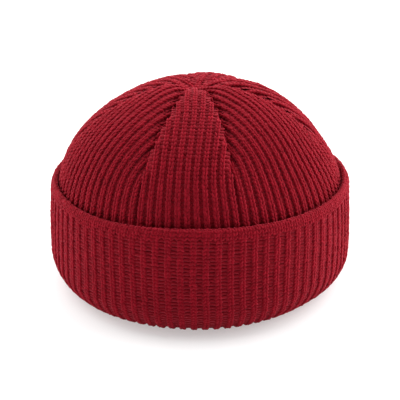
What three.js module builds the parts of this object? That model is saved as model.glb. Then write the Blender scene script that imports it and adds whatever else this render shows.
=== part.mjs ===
// A chunky rib-knit fisherman beanie, as a crown and a turned-up cuff.
// Millimetres, +Z up. The hat stands on z = 0, round the Z axis, with its front towards -Y.
import * as THREE from "three";

const { degToRad, euclideanModulo, lerp, radToDeg, smoothstep } = THREE.MathUtils;

// Driving dimensions
const headRadius = 81.9; // inside of the wall at the foot of the dome
const knitWall = 4.4; // one layer of the knit
const layerClearance = 0.4; // between the cuff and the wall behind it
const seamClearance = 0.4; // between the lower edge of the crown and the fold of the cuff
const domeHeight = 123.5; // where the dome would peak without the dip at its closure
const cuffHeight = 65; // top edge of the cuff, before it is uneven
const cuffFlare = 1.7; // how much wider the band is above its foot than at its edge
const cuffBelly = 0.4; // how far it swells at mid height
const footInset = 14.5; // how far the line that it stands on lies in from the band
const footCurl = degToRad(58.8); // how far the foot curls in, from upright, before its round end
const restWidth = 2.4; // width of the ring that touches the surface
const domeDrop = 6; // the dome starts to lean in this far below the edge of the cuff
const lipHeight = 6; // height of the rounded top edge of the cuff
const lipInset = 2.6; // how far that edge rounds in
const lipInnerDrop = 1.2; // how far its inner corner lies below its top
const dartDepth = 3.4; // how deep the darts sink between the gores
const dartHalfWidth = 4.6; // how far a dart's dent reaches to each side
const closureDip = 4.2; // how deep the crown is drawn in where the gores meet
const closureRadius = 10.5; // how wide that dip is

// Outline of the dome: (radius share) ^ fullness + (height share) ^ steepness = 1
const domeFullness = 1.94;
const domeSteepness = 1.66;

// The darts that part the crown into gores, in degrees from the front, turning to +X. Depth is a share of
// the dart depth, and puff is how far the gore after the dart swells. The first dart is given again a turn
// later, to close the circle.
const darts = [
  { towards: -24.5, depth: 0.8, puff: 1.3 },
  { towards: 15.5, depth: 0.8, puff: 1.3 },
  { towards: 80.5, depth: 0.6, puff: 1 },
  { towards: 135.5, depth: 0.35, puff: 0.9 },
  { towards: 195.5, depth: 0.15, puff: 0.1 },
  { towards: 275.5, depth: 0.6, puff: 1.3 },
  { towards: 335.5, depth: 0.8, puff: 1.3 },
];

// Facets
const columnCount = 72;
const domeRows = 13;
const wallRows = 3;
const curlRows = 4;
const tipRows = 5;
const lipRows = 3;
const columnTolerance = 1e-6; // degrees by which a column may miss its dart in rounding

// How the soft hat departs from a round one, by direction: degrees from the front, turning to +X.
// edge is a share of the cuff's height, tuck a share of the foot's inset.
const unevenness = [
  { towards: 0, edge: 0.012, tuck: -0.1 },
  { towards: 45, edge: 0.006, tuck: 0.05 },
  { towards: 90, edge: 0.012, tuck: -0.12 },
  { towards: 135, edge: 0.006, tuck: 0.02 },
  { towards: 180, edge: -0.008, tuck: 0 },
  { towards: 225, edge: 0, tuck: 0.04 },
  { towards: 270, edge: -0.012, tuck: -0.02 },
  { towards: 315, edge: -0.026, tuck: -0.16 },
  { towards: 360, edge: 0.012, tuck: -0.1 },
];

// How the dome leans as it rises: rise is a share of its height, the shifts are shares of its radius
const domeLean = [
  { rise: 0, right: 0, front: 0 },
  { rise: 0.47, right: -0.014, front: 0 },
  { rise: 0.86, right: 0, front: 0 },
  { rise: 0.96, right: -0.01, front: 0.01 },
  { rise: 1, right: -0.03, front: 0.045 },
];

// How deep the darts and gores are along their run: reach is a share of the dome's radius
const dartRun = [
  { reach: 0, depth: 0 },
  { reach: 0.12, depth: 0.4 },
  { reach: 0.32, depth: 0.95 },
  { reach: 0.52, depth: 1 },
  { reach: 0.72, depth: 0.8 },
  { reach: 0.92, depth: 0 },
];

// Sizes that follow
const halfClearance = layerClearance / 2;
const domeRadius = headRadius + knitWall;
const foldRadius = knitWall + halfClearance; // round end of the fold, about the line between its layers
const middleRadius = domeRadius + halfClearance; // that line, where the band is upright
const domeFoot = cuffHeight - domeDrop;
const domeRise = domeHeight - domeFoot;
const restHalfAngle = Math.asin(restWidth / 2 / foldRadius);
const foldLift = foldRadius * Math.cos(restHalfAngle);
const firstColumn = degToRad(darts[0].towards); // every dart lies on a column, so that its dent is sharp

// Value of one column of a table, smoothly between its rows
function lookUp(table, by, column, at) {
  let next = 1;
  while (next < table.length - 1 && table[next][by] < at) next += 1;
  const before = table[next - 1];
  const after = table[next];
  return lerp(before[column], after[column], smoothstep(at, before[by], after[by]));
}

function uneven(angle, column) {
  return lookUp(unevenness, "towards", column, euclideanModulo(radToDeg(angle), 360));
}

// A place in the upright plane at an angle: radius and height, with the direction out of the hat
function place(radius, height, outRadius, outHeight) {
  return { radius, height, outRadius, outHeight };
}

function offset(from, distance) {
  return {
    radius: from.radius + distance * from.outRadius,
    height: from.height + distance * from.outHeight,
  };
}

// The line between the two layers, from the fold up to the foot of the dome.
// It is an arc that curls the foot in, then the wall with its slight flare and belly.
function middleLine(angle) {
  const across = footInset * (1 + uneven(angle, "tuck")) - foldRadius;
  const curlRadius = across / (1 - Math.cos(footCurl));
  const footRise = foldLift + curlRadius * Math.sin(footCurl);
  const line = [];
  for (let row = 0; row < curlRows; row += 1) {
    const turn = footCurl * (1 - row / curlRows);
    const radius = middleRadius + cuffFlare - curlRadius * (1 - Math.cos(turn));
    const height = footRise - curlRadius * Math.sin(turn);
    line.push(place(radius, height, Math.cos(turn), -Math.sin(turn)));
  }
  for (let row = 0; row <= wallRows; row += 1) {
    const share = row / wallRows;
    const radius = middleRadius + cuffFlare * (1 - share) + cuffBelly * Math.sin(Math.PI * share);
    line.push(place(radius, lerp(footRise, domeFoot, share), 1, 0));
  }
  return line;
}

// How far the dome swells out (or sinks in, below zero) at an angle and a share of its radius
function goreRelief(angle, reach) {
  const turned = darts[0].towards + euclideanModulo(radToDeg(angle) - darts[0].towards, 360);
  const gore = darts.findLastIndex((dart) => dart.towards <= turned + columnTolerance);
  const [start, end] = darts.slice(gore, gore + 2);
  const fromStart = turned - start.towards;
  const width = end.towards - start.towards;
  const nearest = fromStart < width / 2 ? start : end;
  const turnFromDart = degToRad(Math.min(fromStart, width - fromStart));
  const fromDart = reach * domeRadius * Math.sin(Math.min(turnFromDart, Math.PI / 2));
  const dent = nearest.depth * dartDepth * Math.exp(-((fromDart / dartHalfWidth) ** 2));
  const puff = start.puff * Math.sin((Math.PI * fromStart) / width) ** 2;
  return (puff - dent) * lookUp(dartRun, "reach", "depth", reach);
}

// One place on the outside of the dome: share 0 at its foot, 1 at the closure
function domePlace(angle, share) {
  const turn = (share * Math.PI) / 2;
  const reach = share < 1 ? Math.cos(turn) ** (2 / domeFullness) : 0;
  const rise = Math.sin(turn) ** (2 / domeSteepness);
  const slopeOut = (domeFullness * reach ** (domeFullness - 1)) / domeRadius;
  const slopeUp = (domeSteepness * rise ** (domeSteepness - 1)) / domeRise;
  const steep = Math.hypot(slopeOut, slopeUp);
  const radius = reach * domeRadius;
  const dip = closureDip * Math.exp(-((radius / closureRadius) ** 2));
  const smooth = place(radius, domeFoot + rise * domeRise - dip, slopeOut / steep, slopeUp / steep);
  return { ...smooth, ...offset(smooth, goreRelief(angle, reach)), rise };
}

// Turns a section's place into a point of the hat, with the lean that the dome has at its height
function pointAt(angle, { radius, height }, rise = 0) {
  const right = lookUp(domeLean, "rise", "right", rise) * domeRadius;
  const front = lookUp(domeLean, "rise", "front", rise) * domeRadius;
  return [radius * Math.sin(angle) + right, -radius * Math.cos(angle) - front, height];
}

// The crown's section at an angle, from the closure down its outside and back up its inside.
// Its lower edge lies a clearance above the fold.
function crownSection(angle) {
  const outside = [];
  const inside = [];
  for (let row = domeRows - 1; row > 0; row -= 1) {
    const at = domePlace(angle, row / domeRows);
    outside.push(pointAt(angle, at, at.rise));
    inside.push(pointAt(angle, offset(at, -knitWall), at.rise));
  }
  for (const at of middleLine(angle).slice(1).reverse()) {
    outside.push(pointAt(angle, offset(at, -halfClearance)));
    inside.push(pointAt(angle, offset(at, -foldRadius)));
  }
  const end = middleLine(angle)[0];
  const edge = place(
    end.radius - seamClearance * end.outHeight,
    end.height + seamClearance * end.outRadius,
    end.outRadius,
    end.outHeight,
  );
  outside.push(pointAt(angle, offset(edge, -halfClearance)));
  inside.push(pointAt(angle, offset(edge, -foldRadius)));
  return [...outside, ...inside.reverse()];
}

// The cuff's section at an angle, from its lip down its outside, round the end of the fold, which is
// flat where it meets the surface, then across the fold and up its inside
function cuffSection(angle) {
  const line = middleLine(angle);
  const inside = line.map((at) => offset(at, halfClearance));

  // The lip takes the place of the highest row of the wall, which lies at about its foot
  const outside = line.slice(0, -1).map((at) => offset(at, foldRadius));

  const top = cuffHeight * (1 + uneven(angle, "edge"));
  const lip = [];
  for (let row = 0; row <= lipRows; row += 1) {
    const turn = ((row / lipRows) * Math.PI) / 2;
    lip.push({
      radius: middleRadius + foldRadius - lipInset * (1 - Math.cos(turn)),
      height: top - lipHeight * (1 - Math.sin(turn)),
    });
  }
  lip.push({ radius: middleRadius + halfClearance, height: top - lipInnerDrop });

  const end = line[0];
  const lowest = Math.atan2(end.outRadius, -end.outHeight);
  const turns = [lowest - restHalfAngle];
  for (let row = 0; row <= tipRows; row += 1) {
    turns.push(lerp(lowest + restHalfAngle, Math.PI, row / tipRows));
  }
  const tip = turns.map((turn) => ({
    radius: end.radius + foldRadius * (Math.cos(turn) * end.outRadius + Math.sin(turn) * end.outHeight),
    height: end.height + foldRadius * (Math.cos(turn) * end.outHeight - Math.sin(turn) * end.outRadius),
  }));

  const section = [...lip.reverse(), ...outside.reverse(), ...tip, ...inside];
  return section.map((at) => pointAt(angle, at));
}

// Joins a section at every column into one closed body. With poles, the section starts and ends
// beside them; without, it closes on itself.
function bodyFrom(sectionAt, poles) {
  const positions = [];
  const faces = [];
  let rows = 0;
  for (let column = 0; column < columnCount; column += 1) {
    const section = sectionAt(firstColumn + (column * 2 * Math.PI) / columnCount);
    rows = section.length;
    positions.push(...section.flat());
  }
  const vertex = (column, row) => (column % columnCount) * rows + (row % rows);
  const bands = poles ? rows - 1 : rows;
  for (let column = 0; column < columnCount; column += 1) {
    for (let row = 0; row < bands; row += 1) {
      const here = vertex(column, row);
      const beside = vertex(column + 1, row);
      const below = vertex(column, row + 1);
      const across = vertex(column + 1, row + 1);
      faces.push(here, below, across, here, across, beside);
    }
  }
  if (poles) {
    const first = positions.length / 3;
    positions.push(...poles[0], ...poles[1]);
    for (let column = 0; column < columnCount; column += 1) {
      faces.push(first, vertex(column, 0), vertex(column + 1, 0));
      faces.push(first + 1, vertex(column + 1, rows - 1), vertex(column, rows - 1));
    }
  }
  const geometry = new THREE.BufferGeometry();
  geometry.setAttribute("position", new THREE.Float32BufferAttribute(positions, 3));
  geometry.setIndex(faces);
  geometry.computeVertexNormals();
  return geometry;
}

// Soft acrylic yarn: the crown catches the light from above, the cuff is a little deeper
const crownYarn = new THREE.MeshStandardMaterial({ color: 0x8a1626, roughness: 0.9, metalness: 0 });
const cuffYarn = new THREE.MeshStandardMaterial({ color: 0x7c1320, roughness: 0.92, metalness: 0 });

function makeCrown() {
  const closure = domePlace(firstColumn, 1);
  const outerPole = pointAt(0, closure, 1);
  const innerPole = pointAt(0, offset(closure, -knitWall), 1);
  const crown = new THREE.Mesh(bodyFrom(crownSection, [outerPole, innerPole]), crownYarn);
  crown.name = "crown";
  return crown;
}

function makeCuff() {
  const cuff = new THREE.Mesh(bodyFrom(cuffSection, null), cuffYarn);
  cuff.name = "cuff";
  return cuff;
}

const beanie = new THREE.Group();
beanie.add(makeCrown(), makeCuff());

export default beanie;
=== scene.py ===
# A chunky rib-knit fisherman beanie, stitch by stitch: a domed crown in six gores and a turned-up cuff.
# Metres, +Z up. The hat stands on z = 0 with its front towards -Y. Angles are in degrees from the front,
# turning to +X. A rib number is whole in a recess, and a half more on the middle of the rib after it.
import math

import bpy
import numpy as np
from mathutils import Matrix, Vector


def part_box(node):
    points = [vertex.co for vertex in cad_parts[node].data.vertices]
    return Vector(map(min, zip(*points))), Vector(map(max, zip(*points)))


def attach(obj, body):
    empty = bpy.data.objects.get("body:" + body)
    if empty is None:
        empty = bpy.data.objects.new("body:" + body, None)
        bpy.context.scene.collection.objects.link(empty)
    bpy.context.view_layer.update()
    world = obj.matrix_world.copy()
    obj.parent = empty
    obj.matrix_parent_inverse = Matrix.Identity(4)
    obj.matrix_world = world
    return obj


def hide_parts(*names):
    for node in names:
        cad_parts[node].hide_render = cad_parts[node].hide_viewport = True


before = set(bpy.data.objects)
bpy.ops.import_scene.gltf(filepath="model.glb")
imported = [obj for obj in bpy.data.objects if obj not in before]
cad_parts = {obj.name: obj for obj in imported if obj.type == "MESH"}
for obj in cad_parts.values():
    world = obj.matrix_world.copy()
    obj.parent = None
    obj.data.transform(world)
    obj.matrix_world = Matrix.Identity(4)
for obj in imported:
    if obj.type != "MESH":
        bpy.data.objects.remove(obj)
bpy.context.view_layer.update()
mm = 0.001

# Form of the hat. The first two sizes come from the solids, and the rest are those that they are made to.
flare = 1.7 * mm
wall = 4.4 * mm
clearance = 0.4 * mm
highestEdge = 0.012
hat = {
    "headRadius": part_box("cuff")[1].x - flare - 2 * wall - clearance,  # inside the wall at the dome's foot
    "cuffHeight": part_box("cuff")[1].z / (1 + highestEdge),
    "domeHeight": 123.5 * mm,  # where the dome would peak without the dip at its closure
    "cuffBelly": 0.4 * mm,
    "footInset": 14.5 * mm,  # how far the line that it stands on lies in from the band
    "footCurl": math.radians(58.8),  # how far the foot curls in before its round end
    "restWidth": 2.4 * mm,
    "domeDrop": 6 * mm,  # the dome starts to lean in this far below the edge of the cuff
    "lipHeight": 6 * mm,
    "lipInset": 2.6 * mm,
    "closureDip": 4.2 * mm,
    "closureRadius": 10.5 * mm,
    "domeFullness": 1.94,
    "domeSteepness": 1.66,
}

# How the soft hat departs from a round one: edge is a share of the cuff's height, tuck of the foot's inset
unevenness = {
    "towards": [0, 45, 90, 135, 180, 225, 270, 315, 360],
    "edge": [highestEdge, 0.006, highestEdge, 0.006, -0.008, 0, -0.012, -0.026, highestEdge],
    "tuck": [-0.1, 0.05, -0.12, 0.02, 0, 0.04, -0.02, -0.16, -0.1],
}

# How the dome leans as it rises: rise is a share of its height, the shifts are shares of its radius
domeLean = {
    "rise": [0, 0.47, 0.86, 0.96, 1],
    "right": [0, -0.014, 0, -0.01, -0.03],
    "front": [0, 0, 0, 0.01, 0.045],
}

halfClearance = clearance / 2
domeRadius = hat["headRadius"] + wall
foldRadius = wall + halfClearance
middleRadius = domeRadius + halfClearance
domeFoot = hat["cuffHeight"] - hat["domeDrop"]
domeRise = hat["domeHeight"] - domeFoot
foldLift = math.sqrt(foldRadius**2 - (hat["restWidth"] / 2) ** 2)


def eased(table, by, column, at):
    # A column of a table at any place, eased between its rows: three times the square of the share less
    # twice its cube
    places, values = np.array(table[by], float), np.array(table[column], float)
    row = np.clip(np.searchsorted(places, at, side="right") - 1, 0, len(places) - 2)
    t = np.clip((at - places[row]) / (places[row + 1] - places[row]), 0, 1)
    return values[row] + (values[row + 1] - values[row]) * t * t * (3 - 2 * t)


def step(at, start, end):
    # 0 before the start, 1 past the end, and the same easing between them
    t = np.clip((at - start) / (end - start), 0, 1)
    return t * t * (3 - 2 * t)


def unit(vectors):
    # Each vector over its own length
    return vectors / np.maximum(np.linalg.norm(vectors, axis=-1, keepdims=True), 1e-12)


def turned(angle, radius, height):
    # A place in the upright plane at an angle, as a point
    a = np.radians(angle)
    return np.stack([radius * np.sin(a), -radius * np.cos(a), height + 0 * a], -1)


def footCurve(angle):
    # Radius of the arc in which the foot curls in, and the height at which it starts: the arc reaches in as
    # far as the tuck asks, so its radius is that reach over one less the cosine of the curl
    across = hat["footInset"] * (1 + eased(unevenness, "towards", "tuck", angle % 360)) - foldRadius
    curlRadius = across / (1 - math.cos(hat["footCurl"]))
    return curlRadius, foldLift + curlRadius * math.sin(hat["footCurl"])


# The gores of the crown: the darts between them in degrees, the ribs of each, how far out its ribs start
# to run side by side, and which gore lies over at the dart where it starts (1 this one, -1 the one before)
gores = {
    "dart": [-24.5, 15.5, 80.5, 135.5, 195.5, 275.5],
    "ribs": [11, 17, 11, 13, 16, 16],
    "parallelFrom": [73 * mm, 69 * mm, 72 * mm, 72 * mm, 72 * mm, 76 * mm],
    "lap": [1, -1, 0.4, 0.3, 0, 0.4],
    "deep": [0.5, 0.5, 0.6, 0.35, 0.12, 0.6],  # of each dart, as a share of the dart depth
    "puff": [1.3 * mm, 1.3 * mm, 1.0 * mm, 0.9 * mm, 0.1 * mm, 1.3 * mm],  # how far each gore swells
    "bend": 2.6 * mm,  # over about this much radius the ribs turn from one course to the other
    "dartDepth": 3.4 * mm,
    "dartHalfWidth": 3.4 * mm,
    "lapNarrowing": 0.35,  # share by which a full lap narrows the valley
    "lapShift": 1.0 * mm,  # how far a lap pushes the valley off its dart
    "lapStep": 1.1 * mm,  # how far the gore on top stands proud
    "lapReach": 0.8 * mm,  # how near the dart that step rises
    "lapFade": 8 * mm,  # and how far off it fades again
}
# How fully puffs, darts and laps show along a gore: reach is a share of the dome's radius, 0 at the closure
dartRun = {
    "reach": [0, 0.12, 0.32, 0.52, 0.72, 0.92],
    "depth": [0, 0.4, 0.95, 1, 0.8, 0],
}
ribCount = sum(gores["ribs"])
goreStart = np.array(gores["dart"], float)
goreWidth = np.diff(np.append(goreStart, goreStart[0] + 360))
goreRibs = np.array(gores["ribs"])
goreFirstRib = np.cumsum(goreRibs) - goreRibs


def goreOf(angle):
    # The gore that an angle lies in, and the angle past that gore's first dart
    past = (angle - goreStart[0]) % 360
    gore = np.clip(np.searchsorted(goreStart - goreStart[0], past, side="right") - 1, 0, len(goreStart) - 1)
    return gore, past - (goreStart[gore] - goreStart[0])


def paralleled(gore, radius):
    # The larger of the radius and the one where ribs start to run side by side, rounded over the bend: that
    # start plus the bend times the logarithm of one plus the exponential of (radius less start) over bend
    start, bend = np.array(gores["parallelFrom"])[gore], gores["bend"]
    return start + bend * np.logaddexp(0, (radius - start) / bend)


def crownRibAt(angle, reach):
    # Rib number at a place. Where ribs run side by side, the radius times the sine of the angle from the
    # gore's middle stays the same along a rib, and further out the angle itself does.
    gore, past = goreOf(angle)
    radius = np.maximum(reach * domeRadius, 1e-9)
    fromMiddle = np.radians(past - goreWidth[gore] / 2)
    atFoot = np.arcsin(np.clip(np.sin(fromMiddle) * radius / paralleled(gore, radius), -1, 1))
    return goreFirstRib[gore] + goreRibs[gore] * (np.degrees(atFoot) / goreWidth[gore] + 0.5)


def crownAngleOf(rib, reach, gore):
    # Angle of a rib of a gore at a reach, and how far past the gore's darts it has gone, in degrees: the
    # inverse of crownRibAt
    radius = np.maximum(reach * domeRadius, 1e-9)
    atFoot = np.radians(goreWidth[gore] * ((rib - goreFirstRib[gore]) / goreRibs[gore] - 0.5))
    fromMiddle = np.degrees(np.arcsin(np.clip(np.sin(atFoot) * paralleled(gore, radius) / radius, -1, 1)))
    over = np.abs(fromMiddle) - goreWidth[gore] / 2
    return goreStart[gore] + goreWidth[gore] / 2 + fromMiddle, over


def goreRelief(angle, reach):
    # How far the dome swells out: a puff over each gore, as a squared sine of the share of its width, less
    # the dent of the nearest dart, and a step up to the gore that lies on top there. The dent is a bell
    # curve of the distance from the dart, and the step a hyperbolic tangent that fades with a bell curve.
    gore, past = goreOf(angle)
    after = past < goreWidth[gore] / 2
    fromDart = np.where(after, past, past - goreWidth[gore])
    dart = np.where(after, gore, (gore + 1) % len(goreStart))
    lap, deep = np.array(gores["lap"])[dart], np.array(gores["deep"])[dart]
    away = reach * domeRadius * np.sin(np.radians(np.clip(fromDart, -90, 90)))
    halfWidth = gores["dartHalfWidth"] * (1 - gores["lapNarrowing"] * np.abs(lap))
    dent = deep * gores["dartDepth"] * np.exp(-(((away + lap * gores["lapShift"]) / halfWidth) ** 2))
    fade = np.exp(-((away / gores["lapFade"]) ** 2))
    rise = lap * gores["lapStep"] * np.tanh(away / gores["lapReach"]) * fade
    puff = np.array(gores["puff"])[gore] * np.sin(np.pi * past / goreWidth[gore]) ** 2
    return (puff - dent + rise) * eased(dartRun, "reach", "depth", reach)


def domeReach(row):
    # Share of the dome's radius that a row reaches: the cosine of its quarter turn to two over the fullness
    return np.maximum(np.cos(np.maximum(row, 0) * np.pi / 2), 0) ** (2 / hat["domeFullness"])


def crownPoint(angle, row, depth, relief=1):
    # A point of the crown, so deep under its outside. Row 1 is the closure, 0 the foot of the dome and -1
    # the edge by the fold. The dome is where its share of the radius to the fullness and its share of the
    # height to the steepness add up to one, with a dip at the closure and the relief of the gores. The wall
    # goes straight down with a slight flare and belly, then along an arc that curls in.
    angle, row, depth = np.broadcast_arrays(angle, row, depth)
    fullness, steepness = hat["domeFullness"], hat["domeSteepness"]
    reach = domeReach(row)
    rise = np.sin(np.maximum(row, 0) * np.pi / 2) ** (2 / steepness)
    slopeOut = fullness * reach ** (fullness - 1) / domeRadius
    slopeUp = steepness * rise ** (steepness - 1) / domeRise
    steep = np.hypot(slopeOut, slopeUp)
    swell = relief * goreRelief(angle, reach) - depth
    dip = hat["closureDip"] * np.exp(-((reach * domeRadius / hat["closureRadius"]) ** 2))
    domeOut = reach * domeRadius + swell * slopeOut / steep
    domeUp = domeFoot + rise * domeRise - dip + swell * slopeUp / steep

    curlRadius, footRise = footCurve(angle)
    straight = domeFoot - footRise
    along = -row * (straight + curlRadius * hat["footCurl"] - clearance)
    up = np.clip(1 - along / straight, 0, 1)
    turn = np.maximum(along - straight, 0) / curlRadius
    inset = halfClearance + depth
    bulge = flare * (1 - up) + hat["cuffBelly"] * np.sin(np.pi * up)
    wallOut = middleRadius + bulge - curlRadius * (1 - np.cos(turn)) - inset * np.cos(turn)
    wallUp = domeFoot - np.minimum(along, straight) - (curlRadius - inset) * np.sin(turn)

    dome = row >= 0
    point = turned(angle, np.where(dome, domeOut, wallOut), np.where(dome, domeUp, wallUp))
    rise = np.where(dome, rise, 0)
    point[..., 0] += eased(domeLean, "rise", "right", rise) * domeRadius
    point[..., 1] -= eased(domeLean, "rise", "front", rise) * domeRadius
    return point


def cuffPoint(angle, row, depth):
    # A point of the cuff, so deep under its skin. Rows 0 to 1 round the end of the fold, to 2 uncurl the
    # foot, to 3 climb the band, to 4 round its edge as a quarter ellipse, to 5 its inner corner as a quarter
    # circle, and to 6 go back down between the layers.
    angle, row, depth = np.broadcast_arrays(angle, row, depth)
    fold, curl, band, lip, corner, back = (np.clip(row - n, 0, 1) for n in range(6))
    curlRadius, footRise = footCurve(angle)
    top = hat["cuffHeight"] * (1 + eased(unevenness, "towards", "edge", angle % 360))

    curlTurn = hat["footCurl"] * (1 - curl)
    down = curlTurn + np.pi * (1 - fold)  # way that the skin faces, turned down from level
    endOut = middleRadius + flare - curlRadius * (1 - np.cos(curlTurn))
    endUp = footRise - curlRadius * np.sin(curlTurn)
    footOut, footUp = endOut + foldRadius * np.cos(down), endUp - foldRadius * np.sin(down)

    bandOut = middleRadius + foldRadius + flare * (1 - band) + hat["cuffBelly"] * np.sin(np.pi * band)
    bandUp = footRise + band * (top - hat["lipHeight"] - footRise)

    lipTurn = lip * np.pi / 2
    lipOut = middleRadius + foldRadius - hat["lipInset"] * (1 - np.cos(lipTurn))
    lipUp = top - hat["lipHeight"] * (1 - np.sin(lipTurn))
    lipFaces = np.arctan2(np.sin(lipTurn) / hat["lipHeight"], np.cos(lipTurn) / hat["lipInset"])

    cornerRadius = wall - hat["lipInset"]
    cornerTurn = corner * np.pi / 2
    cornerOut = middleRadius + halfClearance + cornerRadius * (1 - np.sin(cornerTurn))
    cornerUp = top - cornerRadius * (1 - np.cos(cornerTurn))

    straight = top - cornerRadius - footRise
    along = back * (straight + curlRadius * hat["footCurl"])
    up = np.clip(1 - along / straight, 0, 1)
    backTurn = np.maximum(along - straight, 0) / curlRadius
    backOut = middleRadius + flare * (1 - up) - curlRadius * (1 - np.cos(backTurn))
    backOut += halfClearance * np.cos(backTurn)
    backUp = top - cornerRadius - np.minimum(along, straight)
    backUp -= (curlRadius + halfClearance) * np.sin(backTurn)

    parts = [row <= 2, row <= 3, row <= 4, row <= 5]
    radius = np.select(parts, [footOut, bandOut, lipOut, cornerOut], backOut)
    height = np.select(parts, [footUp, bandUp, lipUp, cornerUp], backUp)
    faces = np.select(parts, [-down, 0 * down, lipFaces, np.pi / 2 + cornerTurn], np.pi - backTurn)
    radius = radius - depth * np.cos(faces)
    height = np.maximum(height, 0) - depth * np.sin(faces)
    return turned(angle, radius, height)


# The ribs of the cuff: evenly spaced, with a slight sway of their own as they climb
cuffRibs = {
    "firstRecess": -0.043,  # degrees
    "crownRecessOnRib": 7,  # recess of the crown whose back is the first rib of the cuff
    "sway": 0.28 * mm,
    "swayWaves": [(2, 5.1, 0.4), (3, 9.7, 2.1), (7, 3.3, 4.4)],  # waves round the hat, up it, and a start
    "swayUp": 0.35,  # radians a row, for each wave up
}
ribAngle = 360 / ribCount


def cuffAngleOf(rib, row):
    # Angle of a rib of the cuff: even spacing and a sum of small sine waves
    sway = sum(
        np.sin(2 * np.pi * rib / ribCount * around + row * up * cuffRibs["swayUp"] + start)
        for around, up, start in cuffRibs["swayWaves"]
    )
    return cuffRibs["firstRecess"] + rib * ribAngle + np.degrees(cuffRibs["sway"] / middleRadius) * sway


def tracksOver(pointOf, evenOf, ribs, rows):
    # The runs of ribs over a surface, as arrays by rib and row: place, the directions out and to the side,
    # how wide a rib is, and the distance from the start. Slopes are central differences, and those across
    # the ribs are of the surface without its relief.
    rib, row = np.broadcast_arrays(ribs[:, None], rows[None, :])
    nudge = 0.02
    place = pointOf(rib, row)
    across = (evenOf(rib + nudge, row) - evenOf(rib - nudge, row)) / (2 * nudge)
    along = unit(np.gradient(place, axis=1))
    out = unit(np.cross(across, along))
    side = np.cross(along, out)
    steps = np.linalg.norm(np.diff(place, axis=1), axis=-1)
    return {
        "place": place,
        "out": out,
        "side": side,
        "width": (across * side).sum(-1),
        "distance": np.concatenate([np.zeros((len(ribs), 1)), np.cumsum(steps, axis=1)], axis=1),
        "row": row,
    }


def on(tracks, names, rib, distance):
    # Values of tracks at distances along them, straight between their rows. Rib is the index of the track.
    rows = np.arange(tracks["distance"].shape[1])
    at = np.empty(distance.shape)
    for index in np.unique(rib):
        here = rib == index
        at[here] = np.interp(distance[here], tracks["distance"][index], rows)
    low = np.minimum(at.astype(int), len(rows) - 2)
    share = at - low
    rib = np.broadcast_to(rib.reshape(rib.shape + (1,) * (distance.ndim - 1)), distance.shape)
    found = []
    for name in names:
        values = tracks[name]
        part = share.reshape(share.shape + (1,) * (values.ndim - 2))
        found.append(values[rib, low] * (1 - part) + values[rib, low + 1] * part)
    return found


# A pod of yarn: the stretch of yarn that shows between two crossings, as a closed form with pointed ends.
# Its turns are degrees round it, closer together on the side that shows.
pod = {
    "legRings": np.array([-0.84, -0.32, 0.32, 0.84]),
    "legTurns": np.array([-35, 22, 67, 113, 158, 215]),
    "barRings": np.array([-0.72, 0.0, 0.72]),
    "barTurns": np.array([0, 62, 140, 220, 298]),
    "fullness": 2.4,  # its share of the full radius is one less the place to the fullness, to the roundness
    "roundness": 0.55,
    "mapMargin": 0.06,  # left free round each pod's square of the map that a bake uses
}


def podFaces(count, sides, rings):
    # Corners of every pod's faces, its end triangles after its quads, and their place on the yarn: u goes
    # round it and v along it
    perPod = 2 + sides * rings
    ring = np.arange(rings - 1)[:, None]
    j = np.arange(sides)[None, :]
    here, beside = 1 + ring * sides + j, 1 + ring * sides + (j + 1) % sides
    quads = np.stack([here, here + sides, beside + sides, beside], -1).reshape(-1, 4)
    u = np.stack([j, j, j + 1, j + 1], -1) / sides + 0 * ring[..., None]
    v = np.stack([ring + 1, ring + 2, ring + 2, ring + 1], -1) / (rings + 1) + 0 * j[..., None]
    quadMap = np.stack([u, v], -1).reshape(-1, 4, 2)
    first, last = np.arange(sides), np.arange(sides)[::-1]
    start = np.stack([0 * first, 1 + first, 1 + (first + 1) % sides], -1)
    lastRing = 1 + (rings - 1) * sides
    end = np.stack([0 * last + perPod - 1, lastRing + (last + 1) % sides, lastRing + last], -1)
    startMap = np.stack([np.stack([first + 0.5, first, first + 1], -1) / sides, [[0, 1, 1]] * sides], -1)
    endMap = np.stack([np.stack([last + 0.5, last + 1, last], -1) / sides, [[1, 0, 0]] * sides], -1)
    startMap[..., 1] /= rings + 1
    endMap[..., 1] = (rings + endMap[..., 1]) / (rings + 1)
    triangles, triangleMap = np.concatenate([start, end]), np.concatenate([startMap, endMap])
    shift = (np.arange(count) * perPod)[:, None, None]
    copies = (count, 1, 1, 1)
    return (
        [(quads[None] + shift).reshape(-1, 4), (triangles[None] + shift).reshape(-1, 3)],
        [np.tile(quadMap[None], copies).reshape(-1, 2), np.tile(triangleMap[None], copies).reshape(-1, 2)],
    )


def layPods(tracks, rib, at, shape):
    # Points of the pods that lie on tracks. Each pod's line bows: its ends are deeper by its dip. A leg lies
    # along its track and a crossbar across it, and the ends of each are off that line by its lean.
    kind = "bar" if shape["crossbar"] else "leg"
    rings, around = pod[kind + "Rings"], np.radians(pod[kind + "Turns"])
    a = np.concatenate([[-1], np.repeat(rings, len(around)), [1]])
    r = np.maximum(1 - np.abs(a) ** pod["fullness"], 0) ** pod["roundness"]
    turn = np.concatenate([[0], np.tile(around, len(rings)), [0]])
    column = {name: np.reshape(value, (-1, 1)) for name, value in shape.items() if name != "crossbar"}
    depth = -column["depth"] - column["dip"] * a**2 + column["tilt"] * a
    if shape["crossbar"]:
        along = at[:, None] + column["broad"] * r * np.sin(turn) + column["lean"] * a
        sideways = column["shift"] + column["half"] * a
        depth = depth + column["thick"] * r * np.cos(turn)
    else:
        along = at[:, None] + column["half"] * a
        sideways = column["shift"] + column["lean"] * a + column["broad"] * r * np.cos(turn)
        depth = depth + column["thick"] * r * np.sin(turn)
    place, side, out = on(tracks, ["place", "side", "out"], rib, along)
    points = place + side * sideways[..., None] + out * depth[..., None]
    points[..., 2] = np.maximum(points[..., 2], 0)
    return points


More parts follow.
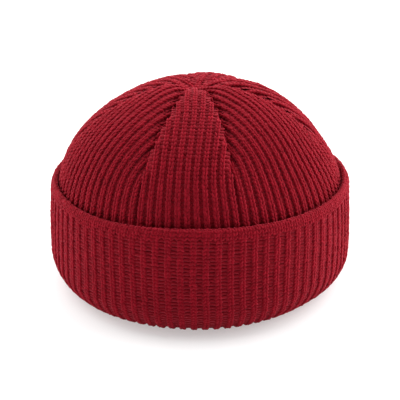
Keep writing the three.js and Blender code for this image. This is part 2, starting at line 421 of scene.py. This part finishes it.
def putMesh(name, points, faces, maps, values):
    # A smooth mesh object from arrays: faces grouped by their number of corners, maps as (u, v) a corner in
    # the same order, and values as one number a vertex
    mesh = bpy.data.meshes.new(name)
    corners = np.concatenate([group.ravel() for group in faces])
    sizes = np.concatenate([np.full(len(group), group.shape[1]) for group in faces])
    mesh.vertices.add(len(points))
    mesh.vertices.foreach_set("co", points.astype(np.float32).ravel())
    mesh.loops.add(len(corners))
    mesh.loops.foreach_set("vertex_index", corners.astype(np.int32))
    mesh.polygons.add(len(sizes))
    mesh.polygons.foreach_set("loop_start", (np.cumsum(sizes) - sizes).astype(np.int32))
    mesh.polygons.foreach_set("use_smooth", np.ones(len(sizes), bool))
    for mapName, places in maps.items():
        layer = mesh.uv_layers.new(name=mapName, do_init=False)
        layer.uv.foreach_set("vector", np.concatenate(places).astype(np.float32).ravel())
    for valueName, numbers in values.items():
        attribute = mesh.attributes.new(valueName, "FLOAT", "POINT")
        attribute.data.foreach_set("value", numbers.astype(np.float32))
    mesh.update(calc_edges=True)
    piece = bpy.data.objects.new(name, mesh)
    bpy.context.scene.collection.objects.link(piece)
    print(f"{name}: {int((sizes - 2).sum())} triangles")
    return piece


def putPods(name, kind, points, tone):
    # A piece of many pods, each with its own tone and its own square of the map that a bake uses
    count, perPod = points.shape[:2]
    faces, yarnMap = podFaces(count, len(pod[kind + "Turns"]), len(pod[kind + "Rings"]))
    squares = math.ceil(math.sqrt(count))
    corner = np.stack([np.arange(count) % squares, np.arange(count) // squares], -1)
    bakeMap = []
    for places in yarnMap:
        each = places.reshape(count, -1, 2)
        inSquare = pod["mapMargin"] + (1 - 2 * pod["mapMargin"]) * each
        bakeMap.append(((corner[:, None] + inSquare) / squares).reshape(-1, 2))
    maps = {"yarn": yarnMap, "OFBake": bakeMap}
    return putMesh(name, points.reshape(-1, 3), faces, maps, {"tone": np.repeat(tone, perPod)})


def putTube(name, points, rib, course, poles):
    # A closed wall from a grid of points by row and column: columns close on themselves, and rows do too
    # unless poles are given for their two ends
    rows, columns = points.shape[:2]
    row = np.arange(rows - 1 if poles is not None else rows)[:, None]
    column = np.arange(columns)[None, :]
    nextRow, nextColumn = (row + 1) % rows, (column + 1) % columns
    quads = np.stack(
        [
            row * columns + column,
            row * columns + nextColumn,
            nextRow * columns + nextColumn,
            nextRow * columns + column,
        ],
        -1,
    ).reshape(-1, 4)
    flatRib, flatCourse = rib.ravel(), course.ravel()
    ribPlaces = flatRib[quads].reshape(rows if poles is None else rows - 1, columns, 4)
    low = ribPlaces.min(-1, keepdims=True)
    ribPlaces = np.where(ribPlaces - low > ribCount / 2, ribPlaces - ribCount, ribPlaces)
    maps = [np.stack([ribPlaces.reshape(-1, 4), flatCourse[quads]], -1).reshape(-1, 2)]
    faces, vertices = [quads], points.reshape(-1, 3)
    if poles is not None:
        vertices = np.concatenate([vertices, poles])
        first, last = len(vertices) - 2, len(vertices) - 1
        c, n = column[0], nextColumn[0]
        end = (rows - 1) * columns
        start = np.stack([0 * c + first, n, c], -1)
        finish = np.stack([0 * c + last, end + c, end + n], -1)
        faces.append(np.concatenate([start, finish]))
        polePlaces = np.zeros((2 * columns, 3, 2))
        polePlaces[:columns, :, 0] = flatRib[c][:, None]
        polePlaces[columns:, :, 0] = flatRib[end + c][:, None]
        polePlaces[:columns, :, 1] = flatCourse[0]
        polePlaces[columns:, :, 1] = flatCourse[end]
        maps.append(polePlaces.reshape(-1, 2))
    return putMesh(name, vertices, faces, {"stitch": maps}, {})


# Materials


class Number:
    # A number socket of a material. Arithmetic on it adds Math nodes.
    def __init__(self, tree, socket):
        self.tree, self.socket = tree, socket

    def maths(self, operation, *values):
        inputs = dict(enumerate(values))
        return Number(self.tree, self.tree.node("ShaderNodeMath", {"operation": operation}, inputs)[0])

    def __add__(self, other):
        return self.maths("ADD", self, other)

    def __radd__(self, other):
        return self.maths("ADD", other, self)

    def __sub__(self, other):
        return self.maths("SUBTRACT", self, other)

    def __rsub__(self, other):
        return self.maths("SUBTRACT", other, self)

    def __mul__(self, other):
        return self.maths("MULTIPLY", self, other)

    def __rmul__(self, other):
        return self.maths("MULTIPLY", other, self)

    def __pow__(self, other):
        return self.maths("POWER", self, other)

    def __abs__(self):
        return self.maths("ABSOLUTE", self)

    def fraction(self):
        return self.maths("FRACT", self)

    def clamped(self):
        return self.maths("MINIMUM", self.maths("MAXIMUM", self, 0.0), 1.0)


class Tree:
    # The nodes of one new material or surround
    def __init__(self, owner):
        self.owner = owner
        owner.use_nodes = True
        self.nodes, self.links = owner.node_tree.nodes, owner.node_tree.links
        self.nodes.clear()

    def node(self, kind, settings, inputs):
        # Adds a node, its settings first, then the values or links of its sockets. Returns its outputs.
        made = self.nodes.new(kind)
        for name, value in settings.items():
            setattr(made, name, value)
        for name, value in inputs.items():
            socket = made.inputs[name]
            source = value.socket if isinstance(value, Number) else value
            if isinstance(source, bpy.types.NodeSocket):
                self.links.new(source, socket)
            else:
                socket.default_value = value
        return made.outputs

    def number(self, socket):
        return Number(self, socket)

    def mapped(self, name):
        # u and v of a map of the mesh
        place = self.node("ShaderNodeUVMap", {"uv_map": name}, {})[0]
        u, v, _ = self.node("ShaderNodeSeparateXYZ", {}, {0: place})
        return self.number(u), self.number(v)

    def noise(self, inputs):
        return self.number(self.node("ShaderNodeTexNoise", {}, inputs)["Fac"])

    def bump(self, strength, distance, height):
        inputs = {"Strength": strength, "Distance": distance, "Height": height}
        return self.node("ShaderNodeBump", {}, inputs)[0]

    def mixed(self, share, first, second):
        # Two colours, mixed by a number: they are sockets 6 and 7 of the node
        inputs = {"Factor": share, 6: first, 7: second}
        return self.node("ShaderNodeMix", {"data_type": "RGBA", "clamp_factor": True}, inputs)[2]

    def surface(self, constants, colour, roughness, normal):
        # A Principled shader on what the tree belongs to
        inputs = {**constants, "Base Color": colour, "Roughness": roughness, "Normal": normal}
        shader = self.node("ShaderNodeBsdfPrincipled", {}, inputs)[0]
        self.node("ShaderNodeOutputMaterial", {}, {"Surface": shader})
        return self.owner


yarnLook = {
    "deep": (0.16, 0.0026, 0.0072, 1),
    "bright": (0.34, 0.0062, 0.018, 1),
    "plies": 2,
    "twist": 1.6,  # how many plies cross a line along one pod
    "toneShare": 0.62,  # how far a pod's tone goes from deep to bright, and then its plies and fibres
    # The plies' share is painted shade: the yarn coloured darker in the grooves between them
    "plyGrooveShade": 0.26,
    "fibreShare": 0.5,
    "fibreLay": 9,  # how fine the fibres are across their lay, and along it
    "fibreRun": 2,
    "toneShift": 40,  # moves each pod's fibres by its tone, so that no two look alike
    "fibreScale": 1.6,
    "grain": 0.1 * mm,  # depth of the grooves between plies
    "grainStrength": 0.55,
    "plyHeight": 0.7,
    "fibreHeight": 0.55,
    "rough": 0.92,
    "smoother": 0.16,  # by which a bright fibre is less rough
}
# How soft any yarn looks: the same all over, so these stay on the shader's own sockets
softness = {
    "Sheen Weight": 0.26,
    "Sheen Tint": (1.0, 0.16, 0.22, 1),
    "Sheen Roughness": 0.5,
    "Specular IOR Level": 0.06,
}


def yarnMaterial(name):
    # Twisted yarn on the pods: plies and fibres that run round them, and a tone for each pod. A ply is a
    # half round: the root of one less the square of the place across it. The colour holds painted shade:
    # darker in the grooves between plies, and the crossbars' low tone is the shade of the recesses.
    look = yarnLook
    tree = Tree(bpy.data.materials.new(name))
    u, v = tree.mapped("yarn")
    tone = tree.number(tree.node("ShaderNodeAttribute", {"attribute_name": "tone"}, {})["Fac"])
    lay = u * look["plies"] + v * look["twist"]
    across = 2 * lay.fraction() - 1
    ply = (1 - across * across) ** 0.5
    run = v * look["fibreRun"] - u * look["fibreRun"]
    inputs = {"X": lay * look["fibreLay"], "Y": run, "Z": tone * look["toneShift"]}
    place = tree.node("ShaderNodeCombineXYZ", {}, inputs)[0]
    fibre = tree.noise({"Vector": place, "Scale": look["fibreScale"], "Detail": 3})
    shade = look["toneShare"] * tone + look["plyGrooveShade"] * ply + look["fibreShare"] * (fibre - 0.5)
    colour = tree.mixed(shade.clamped(), look["deep"], look["bright"])
    height = look["plyHeight"] * ply + look["fibreHeight"] * fibre
    bump = tree.bump(look["grainStrength"], look["grain"], height)
    return tree.surface(softness, colour, look["rough"] - look["smoother"] * fibre, bump)


wallLook = {
    "chevron": 2.2,  # courses that a stitch slants by over the width of a rib
    "ribFull": 1.35,  # the rib fades from full at its middle to nothing in the recess
    "ribFade": 3.4,
    # Painted shade: the recess is coloured darker than the rib, and each leg darker towards its edges
    "recessShade": 0.15,
    "legGrooveShade": 0.45,
    "ribShadeContrast": 0.35,
    "fibreShare": 0.4,
    "fibreAcross": 6,
    "fibreAlong": 3,
    "fibreScale": 2.3,
    "grain": 0.7 * mm,
    "grainStrength": 0.8,
    "recessHeight": 0.35,
    "ribHeight": 0.65,
    "fibreHeight": 0.25,
    "rough": 0.94,
    "smoother": 0.1,
}


def wallMaterial(name):
    # The knit under and inside: chevrons of stitches on each rib, whose map is rib number and course. A leg
    # is a half round, as a ply is. Its colour holds painted shade: darker in the recesses and between legs.
    look = wallLook
    tree = Tree(bpy.data.materials.new(name))
    u, v = tree.mapped("stitch")
    fromRib = abs(u.fraction() - 0.5)
    across = 2 * (v + look["chevron"] * fromRib).fraction() - 1
    leg = (1 - across * across) ** 0.5
    onRib = (look["ribFull"] - look["ribFade"] * fromRib).clamped()
    inputs = {"X": u * look["fibreAcross"], "Y": v * look["fibreAlong"], "Z": 0.5}
    place = tree.node("ShaderNodeCombineXYZ", {}, inputs)[0]
    fibre = tree.noise({"Vector": place, "Scale": look["fibreScale"], "Detail": 3})
    onLegs = look["recessShade"] + look["legGrooveShade"] * leg * onRib
    shade = onLegs + look["ribShadeContrast"] * onRib + look["fibreShare"] * (fibre - 0.5)
    colour = tree.mixed(shade.clamped(), yarnLook["deep"], yarnLook["bright"])
    height = leg * (look["recessHeight"] + look["ribHeight"] * onRib) + look["fibreHeight"] * fibre
    bump = tree.bump(look["grainStrength"], look["grain"], height)
    return tree.surface(softness, colour, look["rough"] - look["smoother"] * fibre, bump)


crownYarn = yarnMaterial("crown_yarn_stitches")
cuffYarn = yarnMaterial("cuff_yarn_stitches")
crownWall = wallMaterial("crown_yarn_wall")
cuffWall = wallMaterial("cuff_yarn_wall")


def dress(piece, material):
    # Gives a piece its material, its slot and the body that it moves with
    piece.data.materials.append(material)
    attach(piece, "root")


# The wall of each layer, under the stitches that show
walls = {
    "perRib": 6,  # columns
    "underRib": 0.4 * mm,  # depth of the wall under a rib's top
    "recess": 1.9 * mm,  # how much deeper it lies in a recess
    "insideRelief": 1.3 * mm,  # how far the ribs stand proud inside
    "domeRows": 38,
    "insideRows": 38,
    "wallRows": 10,
    "topRow": 0.985,  # of the crown, inside which one pole closes it
    "crownRun": 110 * mm,  # length of a row's worth of crown and of cuff, for the map of their stitches
    "cuffRun": 20 * mm,
    "shiftRows": (0.15, 0.9),  # rows down the crown over which its ribs shift to those of the cuff
    "cuffRows": [10, 7, 6, 5, 4, 9],  # rows of faces in each of the cuff's stretches
    "lipRows": (2.9, 3.5),  # rows of the cuff over which its recesses fill up at the edge
    "lipFill": 0.35,  # share by which the wall rises there
    "backDepth": 0.5 * mm,  # of the cuff between the layers
    "footLift": 0.2 * mm,  # least height of the cuff's wall above the floor
}


def ribWave(rib):
    # 1 in the recess, 0 on the middle of a rib
    return 0.5 + 0.5 * np.cos(2 * np.pi * rib)


def crownColumnAngle(rib, row):
    # Inside the cuff the ribs of the crown shift to those of the cuff, whose backs they are
    onCuff = cuffAngleOf(rib - cuffRibs["crownRecessOnRib"] + 0.5, 0 * rib)
    gore = np.clip(np.searchsorted(goreFirstRib, rib, side="right") - 1, 0, len(goreStart) - 1)
    onCrown = goreStart[gore] + goreWidth[gore] * (rib - goreFirstRib[gore]) / goreRibs[gore]
    apart = (onCuff - onCrown + 180) % 360 - 180
    return onCrown + apart * step(-row, *walls["shiftRows"])


def makeCrownWall():
    # Down the outside from the closure to the fold, and up again inside, a grid of ribs by rows
    rib = np.arange(ribCount * walls["perRib"]) / walls["perRib"]
    outRows = np.linspace(walls["topRow"], 0, walls["domeRows"])
    downRows = -np.linspace(0, 1, walls["wallRows"])[1:]
    inRows = np.linspace(0, walls["topRow"], walls["insideRows"])[1:]
    row = np.concatenate([outRows, downRows, downRows[::-1], [0], inRows])
    outside = np.arange(len(row)) < len(outRows) + len(downRows)
    rib, row = np.meshgrid(rib, row)
    angle = crownColumnAngle(rib, row)
    number = np.where(row >= 0, crownRibAt(angle, domeReach(row)), rib)
    wave = ribWave(number)
    depthOut = walls["underRib"] + walls["recess"] * wave
    depthIn = wall - walls["insideRelief"] * (1 - wave)
    points = crownPoint(angle, row, np.where(outside[:, None], depthOut, depthIn))
    poles = crownPoint(0.0, 1.0, np.array([walls["underRib"], wall]))
    course = row * walls["crownRun"] / stitches["crownCourse"]
    number = np.where(outside[:, None], number, number + 0.5)
    piece = putTube("crown_wall", points, number, course, poles)
    dress(piece, crownWall)
    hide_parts("crown")


def makeCuffWall():
    # Round the whole section of the cuff, a grid of ribs by rows
    rib = np.arange(ribCount * walls["perRib"]) / walls["perRib"]
    stretches = [np.linspace(n, n + 1, count + 1)[:-1] for n, count in enumerate(walls["cuffRows"])]
    row = np.concatenate(stretches + [[len(stretches)]])
    rib, row = np.meshgrid(rib, row)
    wave = ribWave(rib)
    lipShare = step(row, *walls["lipRows"])
    depth = walls["underRib"] + walls["recess"] * wave * (1 - lipShare)
    depth = depth * (1 - walls["lipFill"] * lipShare)
    betweenLayers = row > len(stretches) - 1
    depth = np.where(betweenLayers, walls["backDepth"], depth)
    points = cuffPoint(cuffAngleOf(rib, row), row, depth)
    points[..., 2] = np.maximum(points[..., 2], walls["footLift"])
    points, rib, row = points[::-1], rib[::-1], row[::-1]
    piece = putTube("cuff_wall", points, rib, -row * walls["cuffRun"] / stitches["cuffCourse"], None)
    dress(piece, cuffWall)
    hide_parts("cuff")


# The stitches. Shifts, leans and widths are shares of a rib's width, so they narrow where the ribs do.
stitches = {
    "crownCourse": 2.45 * mm,
    "cuffCourse": 2.05 * mm,
    "overlap": 0.84,  # half length of a leg, in courses
    "crownShift": 0.145,  # of each leg from the middle of its rib
    "cuffShift": 0.128,
    "crownBroad": 0.165,  # half width of a leg
    "cuffBroad": 0.152,
    "lean": 0.1,  # how far each end of a leg is off the line of its rib
    "thick": 1.0 * mm,  # half thickness of a leg
    "proud": 0.3 * mm,  # how far a leg's outer side stands out of the solid
    "dip": 0.7 * mm,  # how much deeper the ends of a leg lie than its middle
    "jitter": 0.06,  # chance difference of a stitch's sizes and shift
    "barHalf": 0.4,  # half length of a crossbar in a recess
    "crownBarBroad": 0.85,  # half width of a crossbar, in courses
    "cuffBarBroad": 0.66,
    "crownBarDepth": 1.5 * mm,
    "crownBarRise": 0.3 * mm,  # how much less deep the crossbars lie towards the closure
    "barRiseRows": (0.2, 0.6),  # rows of the dome over which they do so
    # painted shade: the crossbars' yarn is coloured darker for the shade that falls in the recesses
    "crownBarPaintedShade": 0.05,
    "cuffBarPaintedShade": 0.12,
    "cuffBarDepth": 1.1 * mm,
    "barUneven": 0.03 * mm,  # chance difference of its depth
    "barThick": 0.3 * mm,  # half thickness of a crossbar
    "barDip": -0.3 * mm,  # less than nothing, so its ends rise to the ribs
    "lipFrom": 3.0,  # row of the cuff where its edge starts, on which legs fill the recesses too
    "crownRows": (-0.12, 0.995),  # where the crown's ribs start, and where they end at the closure
    "dartsFrom": 0.1,  # row of the crown from which darts end its ribs
    "legInset": 0.9 * mm,  # how far from a dart a rib ends
    "barInset": 0.5 * mm,  # and a recess
    "lapCover": 0.6,  # share of that by which a full lap lengthens or shortens a rib
    "cuffRows": (0.28, 4.95),
    "crownSteps": 700,  # in which a rib is followed
    "cuffSteps": 900,
    "leanSpread": 0.3,  # chance differences, most of them as shares
    "depthSpread": 0.1 * mm,
    "legPlace": 0.06,  # of a course
    "barPlace": 0.05,
    "barShift": 0.03,
    "barLean": 0.06,
    "barTilt": 0.1 * mm,
    "legTone": 0.5,
    "legToneSpread": 0.17,
    "barToneSpread": 0.06,
    "spreadLimit": 2.2,
    "seed": 11,
}
randoms = np.random.default_rng(stitches["seed"])


def spots(ends, course):
    # Index of the track and distance along it of each course's middle, up to where each track ends
    count = int(np.max(ends) / course) + 1
    rib, number = np.meshgrid(np.arange(len(ends)), np.arange(count), indexing="ij")
    at = 0.5 * course + number * course
    keep = at < ends[:, None]
    return rib[keep], at[keep]


def unevenly(count, spread):
    # Numbers round one, with normal chance differences that are cut off at the limit
    limit = stitches["spreadLimit"]
    return 1 + spread * np.clip(randoms.standard_normal(count), -limit, limit)


def legs(tracks, rib, at, course, direction, kind):
    # Both legs of every stitch, of the crown's kind or the cuff's. They open in the direction of knitting,
    # 1 up the track and -1 down it.
    points, tones = [], []
    count = len(rib)
    width = on(tracks, ["width"], rib, at[:, None])[0][:, 0]
    depth = stitches["thick"] - stitches["proud"]
    for hand in (-1, 1):
        loose = unevenly(count, stitches["jitter"])
        shape = {
            "crossbar": False,
            "half": stitches["overlap"] * course * unevenly(count, stitches["jitter"] / 2),
            "shift": hand * stitches[kind + "Shift"] * width * unevenly(count, stitches["jitter"]),
            "lean": hand * direction * stitches["lean"] * width * unevenly(count, stitches["leanSpread"]),
            "broad": stitches[kind + "Broad"] * width * loose,
            "thick": stitches["thick"] * loose,
            "dip": stitches["dip"],
            "tilt": 0.0,
            "depth": depth + stitches["depthSpread"] * randoms.standard_normal(count),
        }
        place = at + stitches["legPlace"] * course * randoms.standard_normal(count)
        points.append(layPods(tracks, rib, place, shape))
        tone = stitches["legTone"] + stitches["legToneSpread"] * randoms.standard_normal(count)
        tones.append(np.clip(tone, 0, 1))
    return np.concatenate(points), np.concatenate(tones)


def crossbars(tracks, rib, at, course, kind, rise):
    # The yarn that crosses each recess, one bar a course, of the crown's kind or the cuff's. Up the dome the
    # bars lie less deep by the rise. Their low tone is painted shade: the recesses coloured darker.
    count = len(rib)
    width, row = on(tracks, ["width", "row"], rib, at[:, None])
    width, row = width[:, 0], row[:, 0]
    depth = stitches[kind + "BarDepth"] - rise * step(row, *stitches["barRiseRows"])
    loose = unevenly(count, stitches["jitter"])
    shape = {
        "crossbar": True,
        "half": stitches["barHalf"] * width,
        "shift": stitches["barShift"] * width * randoms.standard_normal(count),
        "lean": stitches["barLean"] * course * randoms.standard_normal(count),
        "broad": stitches[kind + "BarBroad"] * course * loose,
        "thick": stitches["barThick"] * loose,
        "dip": stitches["barDip"],
        "tilt": stitches["barTilt"] * randoms.standard_normal(count),
        "depth": depth + stitches["barUneven"] * randoms.standard_normal(count),
    }
    place = at + stitches["barPlace"] * course * randoms.standard_normal(count)
    points = layPods(tracks, rib, place, shape)
    tone = stitches[kind + "BarPaintedShade"] + stitches["barToneSpread"] * randoms.standard_normal(count)
    return points, np.clip(tone, 0, 1)


def crownTracks(offset, inset):
    # Tracks of the crown, each at a whole rib number plus the offset, and how long each runs: to its dart,
    # less an inset there, or to the closure
    ribs = np.arange(ribCount) + offset
    rows = np.linspace(*stitches["crownRows"], stitches["crownSteps"])
    gore = np.clip(np.searchsorted(goreFirstRib, ribs, side="right") - 1, 0, len(goreStart) - 1)

    def pointOf(rib, row):
        return crownPoint(crownAngleOf(rib, domeReach(row), gore[:, None])[0], row, 0.0)

    def evenOf(rib, row):
        return crownPoint(crownAngleOf(rib, domeReach(row), gore[:, None])[0], row, 0.0, 0)

    tracks = tracksOver(pointOf, evenOf, ribs, rows)
    reach = domeReach(tracks["row"])
    angle, over = crownAngleOf(ribs[:, None], reach, gore[:, None])
    toDart = -np.radians(over) * reach * domeRadius
    after = crownAngleOf(ribs, np.ones(ribCount), gore)[0] > goreStart[gore] + goreWidth[gore] / 2
    lap = np.array(gores["lap"])
    lapHere = np.where(after, -lap[(gore + 1) % len(lap)], lap[gore])
    stop = inset * (1 + stitches["lapCover"] * lapHere)
    past = (toDart < stop[:, None]) & (tracks["row"] > stitches["dartsFrom"])
    last = np.where(past.any(1), past.argmax(1), len(rows) - 1)
    ends = tracks["distance"][np.arange(ribCount), last]
    return tracks, ends


def makeCrownStitches():
    # Legs on the middle of each rib of the crown, and crossbars in each recess
    course = stitches["crownCourse"]
    tracks, ends = crownTracks(0.5, stitches["legInset"])
    rib, at = spots(ends, course)
    points, tones = legs(tracks, rib, at, course, 1, "crown")
    front = points[:, 0, 1] < np.median(points[:, 0, 1])
    for name, part in (("crown_stitches_front", front), ("crown_stitches_back", ~front)):
        dress(putPods(name, "leg", points[part], tones[part]), crownYarn)
    tracks, ends = crownTracks(0.0, stitches["barInset"])
    rib, at = spots(ends, course)
    points, tones = crossbars(tracks, rib, at, course, "crown", stitches["crownBarRise"])
    dress(putPods("crown_crossbars", "bar", points, tones), crownYarn)


def makeCuffStitches():
    # The same on the cuff, whose recesses turn into legs at its edge
    course = stitches["cuffCourse"]
    rows = np.linspace(*stitches["cuffRows"], stitches["cuffSteps"])

    def pointOf(rib, row):
        return cuffPoint(cuffAngleOf(rib, row), row, 0.0)

    tracks = tracksOver(pointOf, pointOf, np.arange(ribCount) + 0.5, rows)
    rib, at = spots(tracks["distance"][:, -1], course)
    points, tones = legs(tracks, rib, at, course, -1, "cuff")
    front = points[:, 0, 1] < np.median(points[:, 0, 1])
    for name, part in (("cuff_stitches_front", front), ("cuff_stitches_back", ~front)):
        dress(putPods(name, "leg", points[part], tones[part]), cuffYarn)
    tracks = tracksOver(pointOf, pointOf, np.arange(ribCount), rows)
    rib, at = spots(tracks["distance"][:, -1], course)
    row = on(tracks, ["row"], rib, at[:, None])[0][:, 0]
    onLip = row > stitches["lipFrom"]
    points, tones = crossbars(tracks, rib[~onLip], at[~onLip], course, "cuff", 0.0)
    dress(putPods("cuff_crossbars", "bar", points, tones), cuffYarn)
    points, tones = legs(tracks, rib[onLip], at[onLip], course, -1, "cuff")
    dress(putPods("cuff_lip_stitches", "leg", points, tones), cuffYarn)


makeCrownWall()
makeCuffWall()
print("walls made")
makeCrownStitches()
makeCuffStitches()
print("stitches made")


# The stage: a pale floor, a soft bright surround that is dimmer in front, and soft lamps above and beside
stage = {
    "floorSize": 12.0,
    "floorColour": (0.6, 0.6, 0.6, 1),
    "floorRoughness": 0.9,
    "floorSpecular": 0.1,
    "floorGrain": 0.02,  # strength of the paper's grain
    "floorGlow": 0.42,  # a lit table, so that the paper stays white in the hat's soft shadow
    "cameraDistance": 640 * mm,
    "cameraElevation": 21.79,
    "cameraTarget": 60 * mm,  # height on the hat's axis that the distance and elevation are given for
    "aimHeight": 45.4 * mm,  # and the one that it looks at
    "lens": 93.48,
    "sensor": 36.0,
    "surroundFront": 0.17,
    "surroundBack": 0.85,
    "surroundSlope": 0.9,  # how fast the surround turns from dim in front to bright behind
    "overheadPlace": (0.0, 1.2, 0.9),  # the light falls from there towards the hat's foot
    "overhead": 4.7,
    "overheadAngle": 115,
    "lampSize": (1.2, 1.6),
    "leftLampPlace": (-1.0, 0.25, 0.3),
    "leftLamp": 14,
    "rightLampPlace": (1.0, 0.25, 0.35),
    "rightLamp": 24,
}


def addLamp(name, place, power):
    # A soft lamp that faces the middle of the hat
    lamp = bpy.data.lights.new(name, "AREA")
    lamp.shape, lamp.energy = "RECTANGLE", power
    lamp.size, lamp.size_y = stage["lampSize"]
    holder = bpy.data.objects.new(name, lamp)
    bpy.context.scene.collection.objects.link(holder)
    holder.location = place
    aim(holder, (0, 0, stage["cameraTarget"]))


def aim(thing, target):
    # Turns a camera or lamp so that its own -Z points at the target
    direction = np.array(target, float) - np.array(thing.location, float)
    yaw = math.atan2(-direction[0], direction[1])
    pitch = math.atan2(direction[2], math.hypot(direction[0], direction[1])) + math.pi / 2
    thing.rotation_euler = (pitch, 0, yaw)


def makeStage():
    # The floor, the surround, the lamps and the camera
    half = stage["floorSize"] / 2
    corners = np.array([(-half, -half, 0), (half, -half, 0), (half, half, 0), (-half, half, 0)])
    floor = putMesh("floor", corners, [np.array([[0, 1, 2, 3]])], {}, {})
    tree = Tree(bpy.data.materials.new("floor_paper"))
    bump = tree.bump(stage["floorGrain"], 1 * mm, tree.noise({"Scale": 3.0, "Detail": 2}))
    glow = {"Emission Color": (1, 1, 1, 1), "Emission Strength": stage["floorGlow"]}
    constants = {"Specular IOR Level": stage["floorSpecular"], **glow}
    paper = tree.surface(constants, stage["floorColour"], stage["floorRoughness"], bump)
    floor.data.materials.append(paper)

    surround = Tree(bpy.data.worlds.new("surround"))
    bpy.context.scene.world = surround.owner
    direction = surround.node("ShaderNodeTexCoord", {}, {})["Generated"]
    towardsBack = surround.number(surround.node("ShaderNodeSeparateXYZ", {}, {0: direction})[1])
    share = (0.5 + stage["surroundSlope"] * towardsBack).clamped()
    strength = stage["surroundFront"] + (stage["surroundBack"] - stage["surroundFront"]) * share
    background = surround.node("ShaderNodeBackground", {}, {"Color": (1, 1, 1, 1), "Strength": strength})[0]
    surround.node("ShaderNodeOutputWorld", {}, {"Surface": background})

    sun = bpy.data.lights.new("overhead", "SUN")
    sun.energy, sun.angle = stage["overhead"], math.radians(stage["overheadAngle"])
    overhead = bpy.data.objects.new("overhead", sun)
    bpy.context.scene.collection.objects.link(overhead)
    overhead.location = stage["overheadPlace"]
    aim(overhead, (0, 0, 0))

    addLamp("left_lamp", stage["leftLampPlace"], stage["leftLamp"])
    addLamp("right_lamp", stage["rightLampPlace"], stage["rightLamp"])

    camera = bpy.data.cameras.new("camera")
    camera.lens, camera.sensor_width = stage["lens"], stage["sensor"]
    holder = bpy.data.objects.new("camera", camera)
    bpy.context.scene.collection.objects.link(holder)
    elevation = math.radians(stage["cameraElevation"])
    holder.location = (
        0,
        -stage["cameraDistance"] * math.cos(elevation),
        stage["cameraTarget"] + stage["cameraDistance"] * math.sin(elevation),
    )
    aim(holder, (0, 0, stage["aimHeight"]))
    bpy.context.scene.camera = holder
    bpy.context.scene.view_settings.view_transform = "Standard"


makeStage()
print("stage made")
